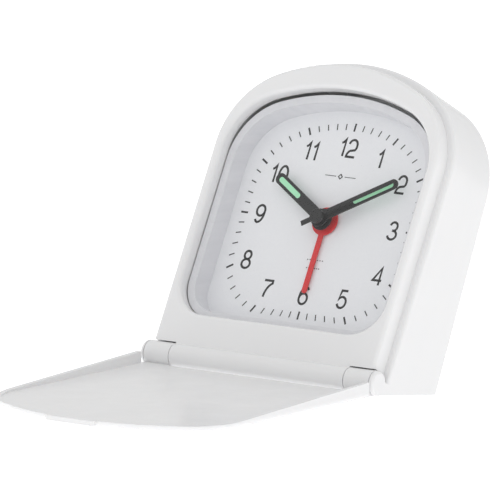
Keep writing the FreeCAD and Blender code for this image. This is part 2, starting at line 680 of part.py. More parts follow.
def level(number):
    """Front distances of a wheel's two faces, counted back from the movement plate."""
    high = f"(-plate_back - 0.2 - {number} * (wheel_thick + wheel_gap))"
    return f"({high} - wheel_thick)", high


def tooth_phase(first, phase, distance_angle, second):
    """Turn of the second wheel whose gaps take the first wheel's teeth, in degrees."""
    pitch = 360.0 / first
    lag = (distance_angle - phase) % pitch
    return distance_angle + 180.0 + 180.0 / second + lag * first / second


def gear_shape(teeth, module, phase, low, high):
    """A toothed wheel: slim straight-sided teeth on a root circle."""
    pitch = 2 * math.pi / teeth
    radius = teeth * module / 2
    root, tip = radius - 1.15 * module, radius + 0.8 * module
    points = []
    for tooth in range(teeth):
        middle = math.radians(phase) + tooth * pitch
        for reach, share in ((root, -0.27), (tip, -0.10), (tip, 0.10), (root, 0.27)):
            angle = middle + share * pitch
            points.append(Vector(reach * math.cos(angle), -low, reach * math.sin(angle)))
    face = Part.Face(Part.makePolygon(points + points[:1]))
    return face.extrude(Vector(0, low - high, 0))


def round_shape(radius, low, high):
    return Part.makeCylinder(radius, high - low, Vector(0, -low, 0), Vector(0, -1, 0))


def wheel(name, place, gears, rods, bore=0.0):
    """A wheel and its pinions on one arbor: gears as (teeth, module, phase, level), rods as steps."""
    shape = None
    for teeth, module, phase, step in gears:
        low, high = (value(face) for face in level(step))
        piece = gear_shape(teeth, value(module), phase, low, high)
        shape = piece if shape is None else shape.fuse(piece)
    for radius, low, high in rods:
        shape = shape.fuse(round_shape(value(radius), value(low), value(high)))
    if bore:
        shape = shape.cut(round_shape(value(bore), -40, 40))
    item = doc.addObject("Part::Feature", name)
    item.Shape = shape.removeSplitter()
    return keep(name, item, *place)


def wheels():
    """The going train from the rotor to the hands, with every mesh in step."""
    motion_phase = tooth_phase(12, 0, 45, 36)
    wheel("minute_arbor", ("0", "0"), [(12, "motion_module", 0, 2)],
          [("minute_tube", level(3)[0], "minute_level + 0.3"), ("gear_hub", level(2)[0], level(2)[1])],
          "minute_bore")
    wheel("motion_wheel", motion_place,
          [(36, "motion_module", motion_phase, 2), (10, "hour_module", motion_phase, 1)],
          [("gear_hub", level(2)[0], level(1)[1])], "stud_radius + stud_fit")
    hour_phase = tooth_phase(10, motion_phase, 225, 40)
    wheel("hour_wheel", ("0", "0"), [(40, "hour_module", hour_phase, 1)],
          [("hour_tube", level(1)[0], "hour_level + 0.3")], "hour_bore")
    wheel("alarm_wheel", ("0", "0"), [(40, "alarm_module", 0, 0)],
          [("alarm_tube", level(0)[0], "alarm_level + 0.3")], "alarm_bore")
    wheel("centre_wheel", ("0", "0"), [(64, "third_module * 34 / 36", 0, 3)],
          [("1.5", level(3)[0], level(3)[1])], "minute_tube + 0.02")
    third_phase = tooth_phase(64, 0, 250, 8)
    wheel("third_wheel", third_place,
          [(8, "third_module * 34 / 36", third_phase, 3), (60, "third_module", third_phase, 4)],
          [("stud_radius", "-cover_inside + 0.05", f"{level(2)[1]}")])
    seconds_phase = tooth_phase(60, third_phase, 70, 8)
    wheel("seconds_wheel", ("0", "0"),
          [(8, "third_module", seconds_phase, 4), (40, "seconds_module", seconds_phase, 5)],
          [("second_shaft", "-cover_inside + 0.05", "second_level + 0.3"),
           ("0.55", level(5)[0], level(4)[1])])
    middle_phase = tooth_phase(40, seconds_phase, 330, 8)
    wheel("intermediate_wheel", middle_place,
          [(8, "seconds_module", middle_phase, 5), (48, "rotor_module", middle_phase, 6)],
          [("stud_radius", "-cover_inside + 0.05", level(4)[1]),
           ("0.6", level(6)[0], level(5)[1])])
    rotor_phase = tooth_phase(48, middle_phase, 340, 8)
    wheel("rotor", rotor_place, [(8, "rotor_module", rotor_phase, 6)],
          [("stud_radius", "-cover_inside + 0.05", level(3)[1]), ("1.6", level(5)[0], level(4)[1])])


def knob(name, place, teeth, module, phase, step):
    """A grooved finger knob in its well, on a shaft that ends in a pinion."""
    x, z = place
    back = f"(-{rear_line(z)})"
    seat = f"({back} + knob_deep - 0.2)"
    body = new_body(name + "_handle")
    add(body, "disc", circle("0", "0", "knob_radius"), f"{back} + 0.25", seat)
    add(body, "shaft", circle("0", "0", "knob_shaft"), seat, level(step)[0])
    for groove in range(int(value("knob_grooves"))):
        turn = groove * 360 / value("knob_grooves")
        rim = circle(f"knob_radius * cos({turn})", f"knob_radius * sin({turn})", "0.35")
        cut(body, f"groove{groove}", rim, f"{back} - 1", f"{seat} + 0.01")
    low, high = (value(face) for face in level(step))
    item = doc.addObject("Part::Feature", name)
    hub = round_shape(value("stud_radius") * 1.5, low, high)
    gear = gear_shape(teeth, value(module), phase, low, high).fuse(hub)
    item.Shape = body.Shape.fuse(gear).removeSplitter()
    return keep(name, item, x, z)


def knobs():
    places = knob_places()
    time_phase = tooth_phase(36, tooth_phase(12, 0, 45, 36), 0, 12)
    knob("time_set_knob", places["time"], 12, "motion_module", time_phase, 2)
    knob("alarm_set_knob", places["alarm"], 12, "alarm_module", tooth_phase(40, 0, 161, 12), 0)


def movement_plate():
    body = new_body("movement_plate")
    add(body, "plate", rectangle("-move_left", "move_right", "-move_low", "move_high"), "-plate_back",
        plate_front)
    add(body, "boss", circle("0", "0", "dial_hole - 0.1"), plate_front, "0.1")
    add(body, "motion_stud", circle(*motion_place, "stud_radius"), level(2)[0] + " - 0.2", "-plate_back")
    cut(body, "arbor_hole", circle("0", "0", "plate_hole"), "-plate_back - 1", "1")
    return keep("movement_plate", body)


def movement_cover():
    """A shallow cup over the train, with holes for the knob shafts and the switch."""
    body = new_body("movement_cover")
    back = "(-cover_inside - cover_thick)"
    front = "(-plate_back - 0.02)"
    add(body, "cup", rectangle("-move_left", "move_right", "-move_low", "move_high"), back, front)
    cut(body, "inside", rectangle("-move_left + cover_thick", "move_right - cover_thick",
                                  "-move_low + cover_thick", "move_high - cover_thick"),
        "-cover_inside", "0")
    for name, (x, z) in knob_places().items():
        cut(body, f"{name}_hole", circle(x, z, "knob_shaft + 0.15"), f"{back} - 1", "0")
    cut(body, "switch_slot", rectangle("switch_x - 1.2", "switch_x + 1.2", "switch_z - 1.6",
                                       "switch_z + switch_travel + 1.6"), f"{back} - 1", "0")
    return keep("movement_cover", body)


def movement_screws():
    screws = []
    for number, (x, z) in enumerate((("-move_left + 3", "move_high - 3"), ("move_right - 3", "move_high - 3"),
                                     ("move_right - 3", "-move_low + 3"))):
        screw = new_body(f"movement_screw{number}")
        seat = "(-cover_inside - cover_thick)"
        add(screw, "head", circle(x, z, "1.3"), f"{seat} - 0.6", seat)
        slot = rectangle(f"{x} - 1.4", f"{x} + 1.4", f"{z} - screw_slot / 2", f"{z} + screw_slot / 2")
        cut(screw, "slot", slot, f"{seat} - 1", f"{seat} - 0.3")
        screws.append(screw)
    group = doc.addObject("Part::Compound", "movement_screws")
    group.Links = screws
    return keep("movement_screws", group)


def electrics():
    """Circuit board with its chip and quartz can, the coil and its stator, the alarm leaf."""
    board = new_body("circuit_board")
    add(board, "board", rectangle("-board_left", "-board_right", "-board_low", "-board_high"),
        "-board_back", "-board_back + board_thick")
    keep("circuit_board", board)
    chip = new_body("clock_chip")
    add(chip, "dome", circle("-chip_x", "-chip_drop", "chip_radius"), "-board_back - chip_high",
        "-board_back")
    keep("clock_chip", chip)
    can = new_body("quartz_can")
    add(can, "can", bar("-can_x", "-can_low", "-can_high", "can_wide"), "-board_back - can_deep",
        "-board_back")
    keep("quartz_can", can)
    coil()
    stator_core()
    leaf = new_body("alarm_contact_leaf")
    add(leaf, "leaf", rectangle("-leaf_left", "-leaf_right", "leaf_low", "leaf_high"),
        "-leaf_front - leaf_thick", "-leaf_front")
    keep("alarm_contact_leaf", leaf)


def coil():
    bobbin = new_body("coil_bobbin")
    middle = ("coil_front", "-coil_drop")
    side_add(bobbin, "core", circle(*middle, "coil_core"), "coil_start", "coil_end")
    for name, low, high in (("left", "coil_start - coil_flange_thick", "coil_start"),
                            ("right", "coil_end", "coil_end + coil_flange_thick")):
        side_add(bobbin, name, circle(*middle, "coil_flange"), low, high)
    side_cut(bobbin, "bore", rectangle("coil_front - coil_bore", "coil_front + coil_bore",
                                       "-coil_drop - coil_bore", "-coil_drop + coil_bore"),
             "coil_start - 2", "coil_end + 2")
    keep("coil_bobbin", bobbin)
    winding = new_body("coil_winding")
    side_add(winding, "copper", circle(*middle, "coil_radius"), "coil_start + coil_fit",
             "coil_end - coil_fit")
    side_cut(winding, "bore", circle(*middle, "coil_core + coil_fit / 5"), "coil_start - 1", "coil_end + 1")
    keep("coil_winding", winding)


def stator_core():
    """The flat iron through the coil, with two legs back to the bridge round the rotor."""
    stator = new_body("stator")
    x, z = rotor_place
    bridge = f"({level(5)[0]} + 0.1)"
    core = ("(-coil_front - core_deep)", "(-coil_front + core_deep)")
    low, high = "-coil_drop - core_high", "-coil_drop + core_high"
    add(stator, "core", rectangle("leg_left", "leg_right", low, high), *core)
    add(stator, "left_leg", rectangle("leg_left", "leg_left + leg_wide", "-leg_drop", z), bridge, core[1])
    add(stator, "right_leg", rectangle("leg_right - leg_right_wide", "leg_right", "-leg_drop", z), bridge,
        core[1])
    add(stator, "bridge", rectangle("leg_left", "leg_right", f"{z} - bridge_low", f"{z} + bridge_high"),
        bridge, f"{level(4)[1]} - 0.1")
    cut(stator, "rotor_hole", circle(x, z, "rotor_room"), "-cover_inside", "-plate_back")
    keep("stator", stator)


def alarm_switch():
    """A slide with a ribbed pad outside and a stem through the slot."""
    body = new_body("alarm_switch")
    back = f"(-{rear_line('switch_z')})"
    seat = f"({back} + switch_well - 0.7)"
    pad = ("switch_x - switch_wide / 2", "switch_x + switch_wide / 2", "switch_z - switch_tall / 2",
           "switch_z + switch_tall / 2")
    add(body, "pad", rectangle(*pad), f"{back} + 0.2", seat)
    add(body, "stem", rectangle("switch_x - 0.7", "switch_x + 0.7", "switch_z - 1", "switch_z + 1"), seat,
        "-6.2")
    for number in range(3):
        low = f"(switch_z - 1.4 + {number} * 1.2)"
        cut(body, f"rib{number}", rectangle(pad[0], pad[1], low, f"{low} + 0.5"), f"{back} - 1",
            f"{back} + 0.5")
    return keep("alarm_switch", body)


def buzzer():
    seat = f"({rear_line('buzzer_height')} - wall - buzzer_seat)"
    front = f"(-{seat} + buzzer_thick)"
    body = turned("buzzer", [("buzzer_radius", f"-{seat}", front),
                             ("buzzer_boss", front, f"{front} + buzzer_boss_high")])
    cut(body, "sound_port", circle("0", "0", "buzzer_port"), f"-{seat} - 1", f"-{seat} + 1")
    return keep("buzzer", body, "0", "buzzer_height")


# ---- hands --------------------------------------------------------------------------------------

def hand(name, bottom, thick, outline, disc, bore, turn, slots=()):
    """A flat hand pointing up, then turned clockwise to its hour."""
    body = new_body(name)
    add(body, "disc", circle("0", "0", disc), bottom, f"{bottom} + {thick}")
    for number, draw in enumerate(outline):
        add(body, f"blade{number}", draw, bottom, f"{bottom} + {thick}")
    cut(body, "bore", circle("0", "0", bore), f"{bottom} - 1", f"{bottom} + {thick} + 1")
    for number, draw in enumerate(slots):
        cut(body, f"slot{number}", draw, f"{bottom} - 1", f"{bottom} + {thick} + 1")
    keep(name, body)
    turns[name] = turn


turns = {}


def hands():
    hour_slot = ("hour_long - lume_inset - hour_lume_long", "hour_long - lume_inset")
    minute_slot = ("minute_long - lume_inset - minute_lume_long", "minute_long - lume_inset")
    hand("hour_hand", "hour_level", "hand_thick", [bar("0", "-0.6", "hour_long", "hour_wide")], "hour_disc",
         "hour_tube + 0.02", 300, [bar("0", *hour_slot, "lume_wide")])
    hand("minute_hand", "minute_level", "hand_thick", [bar("0", "-0.5", "minute_long", "minute_wide")],
         "minute_disc", "minute_tube + 0.02", 60, [bar("0", *minute_slot, "lume_wide")])
    for name, slot, bottom, turn in (("hour_hand_lume", hour_slot, "hour_level", 300),
                                     ("minute_hand_lume", minute_slot, "minute_level", 60)):
        body = new_body(name)
        add(body, "inlay", bar("0", f"{slot[0]} + 0.02", f"{slot[1]} - 0.02", "lume_wide - 0.04"),
            f"{bottom} + 0.03", f"{bottom} + 0.03 + lume_thick")
        keep(name, body)
        turns[name] = turn
    hand("alarm_hand", "alarm_level", "alarm_thick", [bar("0", "0.5", "alarm_long", "alarm_wide")],
         "alarm_disc", "alarm_tube + 0.02", 180)
    body = new_body("second_hand")
    add(body, "cap", circle("0", "0", "second_cap"), "second_level", "second_cap_front")
    add(body, "needle", bar("0", "-second_tail", "second_long", "second_wide"), "second_level",
        "second_level + 0.25")
    add(body, "tail", rectangle("-0.6", "0.6", "-second_tail", "-second_tail + 3"), "second_level",
        "second_level + 0.25")
    cut(body, "bore", circle("0", "0", "second_shaft + 0.02"), "second_level - 1", "second_level + 0.4")
    front = value("second_cap_front")
    round_edges(body, "cap_round", "Fillet", "0.3", lambda edge: in_plane(edge, front))
    keep("second_hand", body)
    turns["second_hand"] = 60


# ---- assembly -----------------------------------------------------------------------------------

for make in (front_housing, rear_housing, crystal, dial_ring, dial_plate, lid, hinge_pins, housing_screws,
             battery, battery_contacts, battery_door, movement_plate, movement_cover, movement_screws,
             wheels, knobs, electrics, alarm_switch, buzzer, hands):
    make()
doc.recompute()

# The lid opens about the hinge, and the clock leans back until the lid's tip and the rear edge of the
# underside stand on one level.
hinge = Vector(0, -value(hinge_front), -value("hinge_drop"))
opening = Placement(hinge, Rotation(Vector(1, 0, 0), value("lid_angle"))).multiply(
    Placement(hinge * -1, Rotation()))


def stand_at(lean):
    return Placement(Vector(), Rotation(Vector(1, 0, 0), -lean))


def placed(name, stand):
    item, place = nodes[name]
    local = Placement(place, Rotation(Vector(0, 1, 0), turns.get(name, 0)))
    if name == "lid":
        local = opening
    return stand.multiply(local).multiply(item.Placement)


def lowest(name, lean):
    item = nodes[name][0]
    move = placed(name, stand_at(lean)).multiply(item.Placement.inverse())
    shape = item.Shape.copy()
    shape.transformShape(move.toMatrix(), True)
    return shape.optimalBoundingBox(False, False)


low_lean, high_lean = 10.0, 45.0
for step in range(24):
    lean = (low_lean + high_lean) / 2
    if lowest("lid", lean).ZMin < lowest("rear_housing", lean).ZMin:
        low_lean = lean
    else:
        high_lean = lean

boxes = [lowest(name, lean) for name in ("lid", "rear_housing", "front_housing")]
front_end = min(box.YMin for box in boxes)
rear_end = max(box.YMax for box in boxes)
floor = min(box.ZMin for box in boxes)
stand = Placement(Vector(0, -(front_end + rear_end) / 2, -floor), Rotation(Vector(1, 0, 0), -lean))
print(f"lean {lean:.3f} degrees, hinge at {stand.multVec(hinge)}")

for name, (item, place) in nodes.items():
    item.Placement = placed(name, stand)
doc.recompute()

for item in doc.Objects:
    if "Invalid" in item.State or "Error" in item.State:
        raise RuntimeError(f"{item.Label} failed: {item.State}")
for name, (item, place) in nodes.items():
    if item.Shape.isNull() or not item.Shape.isValid():
        raise RuntimeError(f"{name} has no valid shape")

os.makedirs("parts", exist_ok=True)
for name, (item, place) in nodes.items():
    item.Shape.exportStep(os.path.join("parts", name + ".step"))
    print(f"{name}: {item.Shape.Volume:.2f} mm3, {len(item.Shape.Solids)} solids")
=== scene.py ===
import json
from math import atan2, cos, hypot, pi, radians, sin, sqrt

import bmesh
import bpy
from mathutils import Matrix, Vector


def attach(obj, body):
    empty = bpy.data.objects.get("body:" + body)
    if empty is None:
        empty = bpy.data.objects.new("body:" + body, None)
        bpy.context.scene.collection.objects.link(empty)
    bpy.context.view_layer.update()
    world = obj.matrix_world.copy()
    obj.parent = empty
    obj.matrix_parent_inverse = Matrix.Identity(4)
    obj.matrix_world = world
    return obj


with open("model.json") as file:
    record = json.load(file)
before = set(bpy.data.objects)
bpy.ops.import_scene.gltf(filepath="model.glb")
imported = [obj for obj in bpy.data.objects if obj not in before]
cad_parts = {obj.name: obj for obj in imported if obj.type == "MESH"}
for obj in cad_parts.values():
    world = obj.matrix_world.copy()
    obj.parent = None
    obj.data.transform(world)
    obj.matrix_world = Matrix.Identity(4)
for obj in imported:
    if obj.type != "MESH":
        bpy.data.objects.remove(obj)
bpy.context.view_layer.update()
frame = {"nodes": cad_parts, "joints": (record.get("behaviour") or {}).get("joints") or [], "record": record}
joints = {joint["name"]: joint for joint in frame["joints"]}
mm = 0.001
print("frame loaded,", len(frame["nodes"]), "nodes")


def linear(hexColour, alpha=1.0):  # sRGB hex to the linear numbers a shader takes
    parts = [int(hexColour[i:i + 2], 16) / 255 for i in (1, 3, 5)]
    return tuple(c / 12.92 if c <= 0.04045 else ((c + 0.055) / 1.055) ** 2.4 for c in parts) + (alpha,)


def perMetre(size):  # noise scale whose features are this many millimetres apart
    return 1000 / size


def addNode(tree, kind, settings=None, links=None):  # settings fill sockets first, then the node itself
    made = tree.nodes.new(kind)
    for name, value in (settings or {}).items():
        if name in made.inputs:
            made.inputs[name].default_value = value
        else:
            setattr(made, name, value)
    for name, output in (links or {}).items():
        tree.links.new(output, made.inputs[name])
    return made


def startMaterial(name):  # a bare shader on its output, and the object's own coordinates to place patterns by
    material = bpy.data.materials.new(name)
    material.use_nodes = True
    tree = material.node_tree
    tree.nodes.clear()
    shader = addNode(tree, "ShaderNodeBsdfPrincipled")
    addNode(tree, "ShaderNodeOutputMaterial", links={"Surface": shader.outputs[0]})
    place = addNode(tree, "ShaderNodeTexCoord").outputs["Object"]
    return material, tree, shader, place


def noise(tree, place, size, detail):  # cloudy pattern, its features this many millimetres apart
    return addNode(tree, "ShaderNodeTexNoise", {"Scale": perMetre(size), "Detail": detail}, {"Vector": place})


def blend(tree, pattern, tint, shade, shader):  # base colour wandering between two close tints
    mix = addNode(tree, "ShaderNodeMix", {"data_type": "RGBA"}, {0: pattern.outputs["Fac"]})
    mix.inputs[6].default_value = linear(tint)
    mix.inputs[7].default_value = linear(shade)
    tree.links.new(mix.outputs[2], shader.inputs["Base Color"])


def emboss(tree, pattern, strength, height, shader):  # relief this many millimetres high
    bump = addNode(tree, "ShaderNodeBump", {"Strength": strength, "Distance": height * mm},
                   {"Height": pattern.outputs["Fac"]})
    tree.links.new(bump.outputs[0], shader.inputs["Normal"])


across = Vector((1, 0, 0))
inward = Vector(joints["minute_turn"]["axis"]).normalized()  # into the clock, square to the dial
upFace = across.cross(inward).normalized()  # towards 12 on the dial
arbor = Vector(joints["minute_turn"]["pos_m"])
dialDepth = min(v.co.dot(inward) for v in frame["nodes"]["dial_plate"].data.vertices)
dialCentre = arbor + inward * (dialDepth - arbor.dot(inward))


def onDial(x, z, lift=0.0):  # millimetres across and up the dial, and out from it
    return dialCentre + across * (x * mm) + upFace * (z * mm) - inward * (lift * mm)


# angles from straight in front of the dial; millimetres across the picture and from the dial to its middle
view = {"azimuth": 37.08, "elevation": -12.86, "roll": 16.96, "distance": 2.6, "widthAcross": 113.02,
        "aimRight": -18.5, "aimUp": -5.4, "sensor": 36, "nearest": 0.1, "farthest": 50}


def makeCamera():
    a, e = radians(view["azimuth"]), radians(view["elevation"])
    back = across * (sin(a) * cos(e)) - inward * (cos(a) * cos(e)) + upFace * sin(e)
    right = across * cos(a) + inward * sin(a)
    up = back.cross(right)
    turn = Matrix.Rotation(radians(view["roll"]), 3, back)
    right, up = turn @ right, turn @ up
    data = bpy.data.cameras.new("camera")
    data.sensor_width = view["sensor"]
    data.lens = view["sensor"] * view["distance"] / (view["widthAcross"] * mm)
    data.clip_start, data.clip_end = view["nearest"], view["farthest"]
    camera = bpy.data.objects.new("camera", data)
    aim = dialCentre + right * (view["aimRight"] * mm) + up * (view["aimUp"] * mm)
    place = aim + back * view["distance"]
    camera.matrix_world = Matrix((
        (right.x, up.x, back.x, place.x), (right.y, up.y, back.y, place.y),
        (right.z, up.z, back.z, place.z), (0, 0, 0, 1)))
    bpy.context.collection.objects.link(camera)
    bpy.context.scene.camera = camera


makeCamera()
bpy.context.scene.view_settings.view_transform = "Standard"


# the room gives "bright" light, changing to "dim" in the direction dimFrom
# each soft box: name, azimuth and elevation in degrees, distance, size, watts
studio = {"floorRadius": 3.0, "floorRings": 8, "floorSides": 64, "floorTint": "#F3F3F4",
          "floorRough": 0.75, "floorSheen": 0.15, "floorGlow": 0.45,
          "bright": 0.76, "dim": 0.80, "dimFrom": (-0.55, -0.80, 0.25), "dimStart": -0.1,
          "softboxes": (("softbox_right", 75, 38, 0.9, 0.5, 0.12),
                        ("softbox_top", 160, 72, 0.9, 0.6, 0.5))}


def makeFloor():  # a disc of rings round the middle
    mesh = bpy.data.meshes.new("studio_floor")
    build = bmesh.new()
    count = studio["floorSides"]
    middle = build.verts.new((0, 0, 0))
    last = None
    for step in range(1, studio["floorRings"] + 1):
        radius = studio["floorRadius"] * step / studio["floorRings"]
        ring = [build.verts.new((radius * cos(2 * pi * i / count), radius * sin(2 * pi * i / count), 0))
                for i in range(count)]
        for i in range(count):
            j = (i + 1) % count
            corners = (middle, ring[i], ring[j]) if last is None else (last[i], ring[i], ring[j], last[j])
            build.faces.new(corners)
        last = ring
    build.to_mesh(mesh)
    build.free()
    floor = bpy.data.objects.new("studio_floor", mesh)
    bpy.context.collection.objects.link(floor)
    material, tree, shader = startMaterial("matteWhiteAcrylicFloor")[:3]
    shader.inputs["Base Color"].default_value = linear(studio["floorTint"])
    shader.inputs["Roughness"].default_value = studio["floorRough"]
    shader.inputs["Specular IOR Level"].default_value = studio["floorSheen"]
    shader.inputs["Emission Color"].default_value = (1, 1, 1, 1)
    shader.inputs["Emission Strength"].default_value = studio["floorGlow"]
    mesh.materials.append(material)


def makeRoom():
    world = bpy.data.worlds.new("whiteRoom")
    bpy.context.scene.world = world
    world.use_nodes = True
    tree = world.node_tree
    tree.nodes.clear()
    direction = addNode(tree, "ShaderNodeTexCoord").outputs["Generated"]
    facing = addNode(tree, "ShaderNodeVectorMath", {"operation": "DOT_PRODUCT"}, {0: direction})
    facing.inputs[1].default_value = Vector(studio["dimFrom"]).normalized()
    level = addNode(tree, "ShaderNodeMapRange",
                    {"From Min": studio["dimStart"], "To Min": studio["bright"], "To Max": studio["dim"]},
                    {"Value": facing.outputs["Value"]})
    seen = addNode(tree, "ShaderNodeLightPath")  # the backdrop is seen pure white, and lights more softly
    strength = addNode(tree, "ShaderNodeMix", {"data_type": "FLOAT", "B": 1.0},
                       {0: seen.outputs["Is Camera Ray"], "A": level.outputs[0]})
    light = addNode(tree, "ShaderNodeBackground", {"Color": (1, 1, 1, 1)}, {"Strength": strength.outputs[0]})
    addNode(tree, "ShaderNodeOutputWorld", links={"Surface": light.outputs[0]})


def makeSoftboxes():
    for name, azimuth, elevation, distance, size, watts in studio["softboxes"]:
        lamp = bpy.data.lights.new(name, "AREA")
        lamp.shape, lamp.size, lamp.energy = "SQUARE", size, watts
        a, e = radians(azimuth), radians(elevation)
        out = Vector((sin(a) * cos(e), -cos(a) * cos(e), sin(e)))
        box = bpy.data.objects.new(name, lamp)
        box.location = dialCentre + out * distance
        box.rotation_mode = "QUATERNION"
        box.rotation_quaternion = (-out).to_track_quat("-Z", "Y")
        bpy.context.collection.objects.link(box)


makeFloor()
makeRoom()
makeSoftboxes()
print("camera and studio made")


whiteAbs = {"tint": "#F3F3F3", "shade": "#EEEEEF", "cloud": 24, "gloss": 0.16, "glossSpread": 0.07,
            "haze": 9, "flow": 7.0, "flowHeight": 0.010, "grain": 0.35, "grainHeight": 0.0016,
            "ior": 1.54, "scatter": 0.08, "scatterDeep": 0.8}


def glossMouldedAbs():
    # polished-mould ABS: clean white, a soft sheen that wavers where the melt flowed, faint handling haze
    material, tree, shader, place = startMaterial("glossMouldedAbs")
    cloud = noise(tree, place, whiteAbs["cloud"], 3)
    blend(tree, cloud, whiteAbs["tint"], whiteAbs["shade"], shader)
    haze = noise(tree, place, whiteAbs["haze"], 5)
    haze.inputs["Roughness"].default_value = 0.6
    gloss = addNode(tree, "ShaderNodeMapRange",
                    {"From Min": 0.35, "From Max": 0.7, "To Min": whiteAbs["gloss"],
                     "To Max": whiteAbs["gloss"] + whiteAbs["glossSpread"]}, {"Value": haze.outputs["Fac"]})
    tree.links.new(gloss.outputs[0], shader.inputs["Roughness"])
    flow = noise(tree, place, whiteAbs["flow"], 1)
    grain = noise(tree, place, whiteAbs["grain"], 2)
    waves = addNode(tree, "ShaderNodeBump", {"Strength": 0.35, "Distance": whiteAbs["flowHeight"] * mm},
                    {"Height": flow.outputs["Fac"]})
    skin = addNode(tree, "ShaderNodeBump", {"Strength": 0.4, "Distance": whiteAbs["grainHeight"] * mm},
                   {"Height": grain.outputs["Fac"], "Normal": waves.outputs[0]})
    tree.links.new(skin.outputs[0], shader.inputs["Normal"])
    shader.inputs["IOR"].default_value = whiteAbs["ior"]
    shader.inputs["Subsurface Weight"].default_value = whiteAbs["scatter"]
    shader.inputs["Subsurface Scale"].default_value = whiteAbs["scatterDeep"] * mm
    shader.inputs["Subsurface Radius"].default_value = (1.0, 0.9, 0.8)
    return material


crystalClear = {"gloss": 0.02, "glossSpread": 0.03, "ripple": 14, "ior": 1.5}


def clearStyrene():
    # moulded clear polystyrene: water-clear straight on, a hard thin reflection that grows at low angles
    material, tree, shader, place = startMaterial("clearMouldedStyrene")
    out = shader.outputs[0].links[0].to_node
    tree.nodes.remove(shader)
    ripple = noise(tree, place, crystalClear["ripple"], 2)
    roughest = crystalClear["gloss"] + crystalClear["glossSpread"]
    gloss = addNode(tree, "ShaderNodeMapRange", {"To Min": crystalClear["gloss"], "To Max": roughest},
                    {"Value": ripple.outputs["Fac"]})
    shine = addNode(tree, "ShaderNodeBsdfGlossy", {"Color": (1, 1, 1, 1)}, {"Roughness": gloss.outputs[0]})
    clear = addNode(tree, "ShaderNodeBsdfTransparent", {"Color": (1, 1, 1, 1)})
    share = addNode(tree, "ShaderNodeFresnel", {"IOR": crystalClear["ior"]})
    face = addNode(tree, "ShaderNodeNewGeometry")  # only the outer skin shines, so no light is held inside
    outside = addNode(tree, "ShaderNodeMath", {"operation": "SUBTRACT"}, {1: face.outputs["Backfacing"]})
    outside.inputs[0].default_value = 1.0
    amount = addNode(tree, "ShaderNodeMath", {"operation": "MULTIPLY"},
                     {0: share.outputs[0], 1: outside.outputs[0]})
    mix = addNode(tree, "ShaderNodeMixShader",
                  links={0: amount.outputs[0], 1: clear.outputs[0], 2: shine.outputs[0]})
    tree.links.new(mix.outputs[0], out.inputs["Surface"])
    return material


satinRing = {"tint": "#DCDDE1", "shade": "#ECECEF", "lines": 2.2, "drawn": (1, 0.08, 1), "lineHeight": 0.02,
             "rough": 0.32, "ior": 1.54}


def frostedRing():
    # satin grey-white moulding round the dial: darker than the case, drawn down in fine upright lines
    material, tree, shader, place = startMaterial("satinMouldedRing")
    turned = addNode(tree, "ShaderNodeMapping", {"vector_type": "POINT"}, {"Vector": place})
    turned.inputs["Scale"].default_value = satinRing["drawn"]
    lines = noise(tree, turned.outputs[0], satinRing["lines"], 4)
    blend(tree, lines, satinRing["tint"], satinRing["shade"], shader)
    emboss(tree, lines, 0.5, satinRing["lineHeight"], shader)
    shader.inputs["Roughness"].default_value = satinRing["rough"]
    shader.inputs["IOR"].default_value = satinRing["ior"]
    return material


def mouldedPlastic(name, tint, shade, rough, grain, height, ior=1.49):
    # plain moulding: even colour with a faint cloud, a fine spark-eroded grain that breaks the highlight
    material, tree, shader, place = startMaterial(name)
    cloud = noise(tree, place, 6, 3)
    blend(tree, cloud, tint, shade, shader)
    pits = noise(tree, place, grain, 3)
    emboss(tree, pits, 0.6, height, shader)
    level = addNode(tree, "ShaderNodeMapRange", {"To Min": rough - 0.06, "To Max": rough + 0.06},
                    {"Value": cloud.outputs["Fac"]})
    tree.links.new(level.outputs[0], shader.inputs["Roughness"])
    shader.inputs["IOR"].default_value = ior
    return material


def paintedFilm(name, tint, shade, rough, fleck=0.5, height=0.004, ior=1.5):
    # sprayed or screen-printed film: dense colour, dry edge, slight orange peel at the fleck size
    material, tree, shader, place = startMaterial(name)
    peel = noise(tree, place, fleck, 2)
    blend(tree, peel, tint, shade, shader)
    emboss(tree, peel, 0.5, height, shader)
    shader.inputs["Roughness"].default_value = rough
    shader.inputs["IOR"].default_value = ior
    return material


def platedMetal(name, tint, rough, streak, along=(1, 0.1, 1)):
    # thin bright plating over stamped or turned metal: fine parallel drawing lines stretch the highlight
    material, tree, shader, place = startMaterial(name)
    drawn = addNode(tree, "ShaderNodeMapping", links={"Vector": place})
    drawn.inputs["Scale"].default_value = along
    lines = noise(tree, drawn.outputs[0], streak, 3)
    level = addNode(tree, "ShaderNodeMapRange", {"To Min": rough - 0.08, "To Max": rough + 0.1},
                    {"Value": lines.outputs["Fac"]})
    tree.links.new(level.outputs[0], shader.inputs["Roughness"])
    emboss(tree, lines, 0.3, 0.003, shader)
    shader.inputs["Base Color"].default_value = linear(tint)
    shader.inputs["Metallic"].default_value = 1.0
    return material


